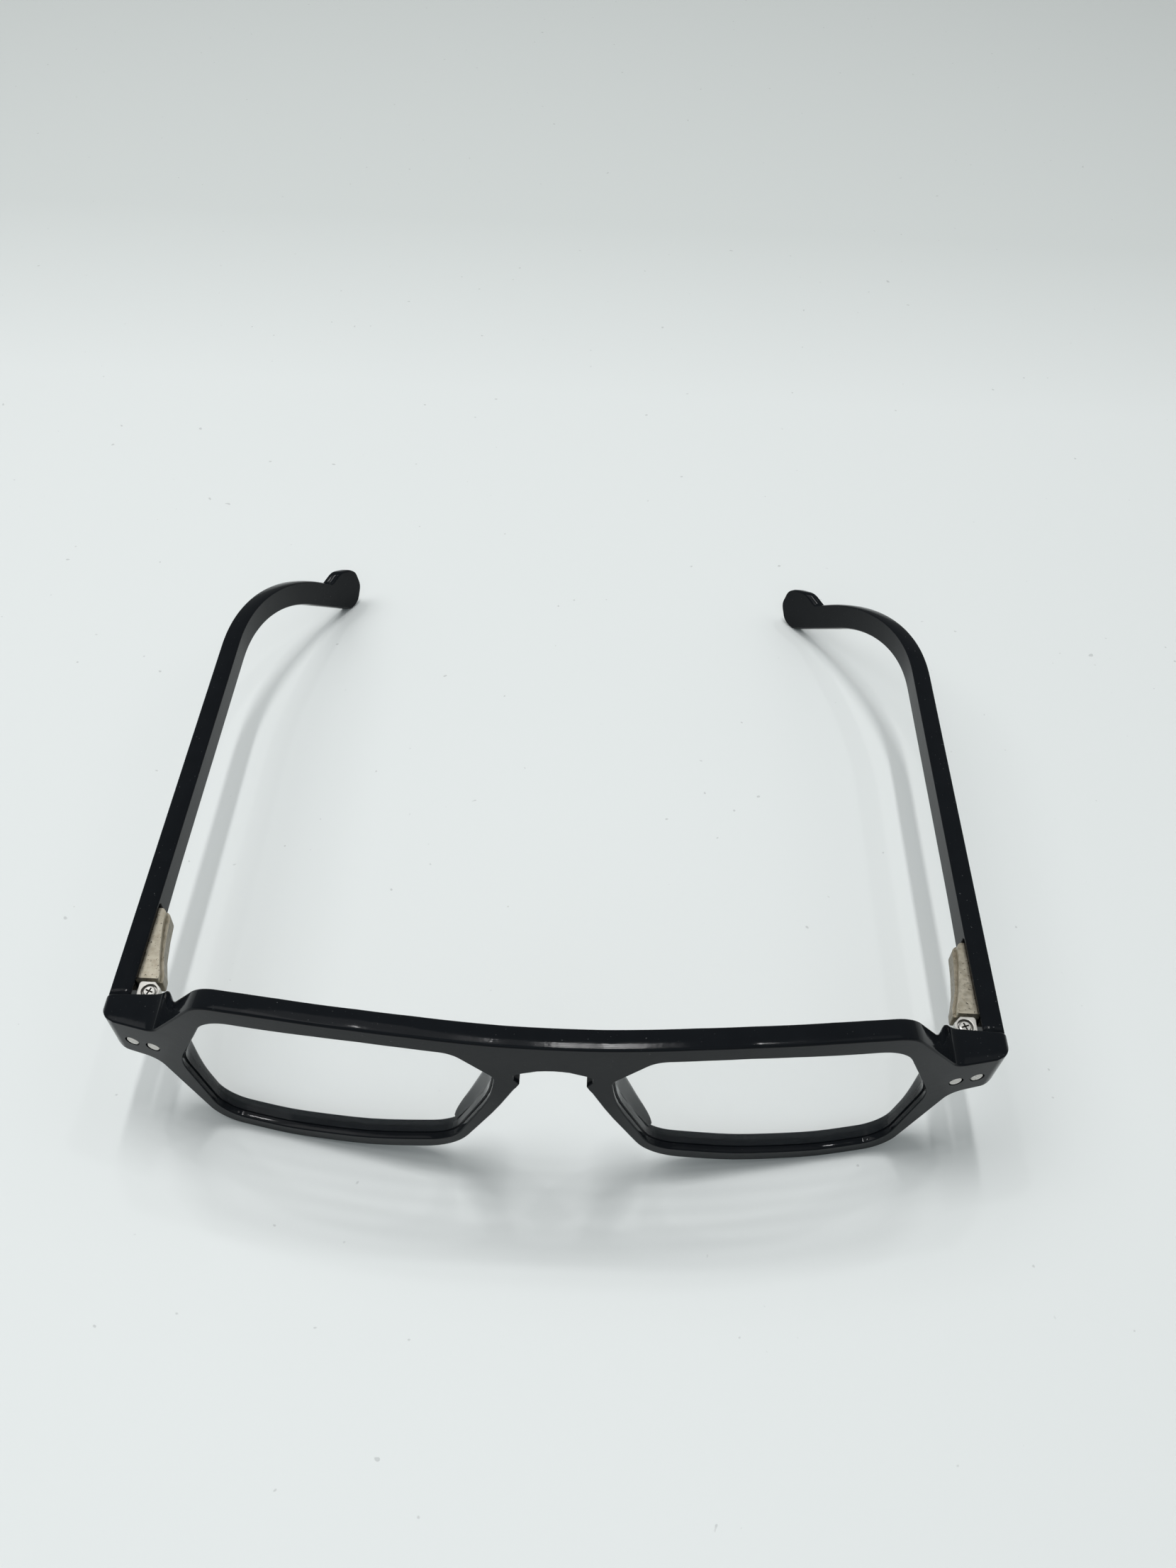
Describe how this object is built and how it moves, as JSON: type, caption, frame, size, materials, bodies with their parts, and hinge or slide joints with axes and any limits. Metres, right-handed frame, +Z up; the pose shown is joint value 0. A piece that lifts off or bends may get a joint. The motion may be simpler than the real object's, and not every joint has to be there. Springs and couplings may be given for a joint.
{
  "type": "eyeglasses",
  "caption": "Full-rim eyeglasses with angular navigator rims, a keyhole bridge and sprung folding temples, standing open on rims and tips.",
  "frame": {"origin": "on the surface the glasses stand on, under the middle of their bounding box", "axes": "+X towards the wearer's left, +Y back along the temples to their tips, +Z up"},
  "size_m": [0.1404, 0.1434, 0.0449],
  "materials": {
    "front_acetate": "polished black acetate with a faint haze and fine scratches",
    "temple_acetate": "polished black acetate",
    "pad_acetate": "polished black acetate, built up behind the rims",
    "lens_clear": "clear plastic lens",
    "rivet_silver": "satin silver rivet",
    "hinge_nickel": "nickel silver",
    "screw_steel": "bright screw with a cross recess",
    "knuckle_steel": "bright steel",
    "spring_steel": "spring wire",
    "housing_nickel": "warm grey nickel silver, worn along its edges",
    "core_steel": "plain wire"
  },
  "bodies": {
    "front": {"front_frame": "front_acetate", "lens_left": "lens_clear", "nose_pad_left": "pad_acetate", "rivet_left_inner": "rivet_silver", "rivet_left_outer": "rivet_silver", "hinge_plate_left": "hinge_nickel", "hinge_screw_left": "screw_steel", "lens_right": "lens_clear", "nose_pad_right": "pad_acetate", "rivet_right_inner": "rivet_silver", "rivet_right_outer": "rivet_silver", "hinge_plate_right": "hinge_nickel", "hinge_screw_right": "screw_steel"},
    "knuckle_left": {"sprung_knuckle_left": "knuckle_steel"},
    "temple_left": {"temple_left": "temple_acetate", "spring_housing_left": "housing_nickel", "spring_left": "spring_steel", "core_wire_left": "core_steel"},
    "knuckle_right": {"sprung_knuckle_right": "knuckle_steel"},
    "temple_right": {"temple_right": "temple_acetate", "spring_housing_right": "housing_nickel", "spring_right": "spring_steel", "core_wire_right": "core_steel"}
  },
  "joints": [
    {"name": "hinge_left", "type": "hinge", "parent": "front", "child": "knuckle_left", "pos_m": [0.0646, -0.05418, 0.024], "axis": [0, 0, 1], "range_deg": [0, 84]},
    {"name": "spring_slide_left", "type": "slide", "parent": "knuckle_left", "child": "temple_left", "axis": [0, 1, 0], "range_m": [0, 0.0012], "stiffness_N_per_m": 400, "springref_m": -0.002},
    {"name": "hinge_right", "type": "hinge", "parent": "front", "child": "knuckle_right", "pos_m": [-0.0646, -0.05418, 0.024], "axis": [0, 0, -1], "range_deg": [0, 67]},
    {"name": "spring_slide_right", "type": "slide", "parent": "knuckle_right", "child": "temple_right", "axis": [0, 1, 0], "range_m": [0, 0.0012], "stiffness_N_per_m": 400, "springref_m": -0.002}
  ]
}
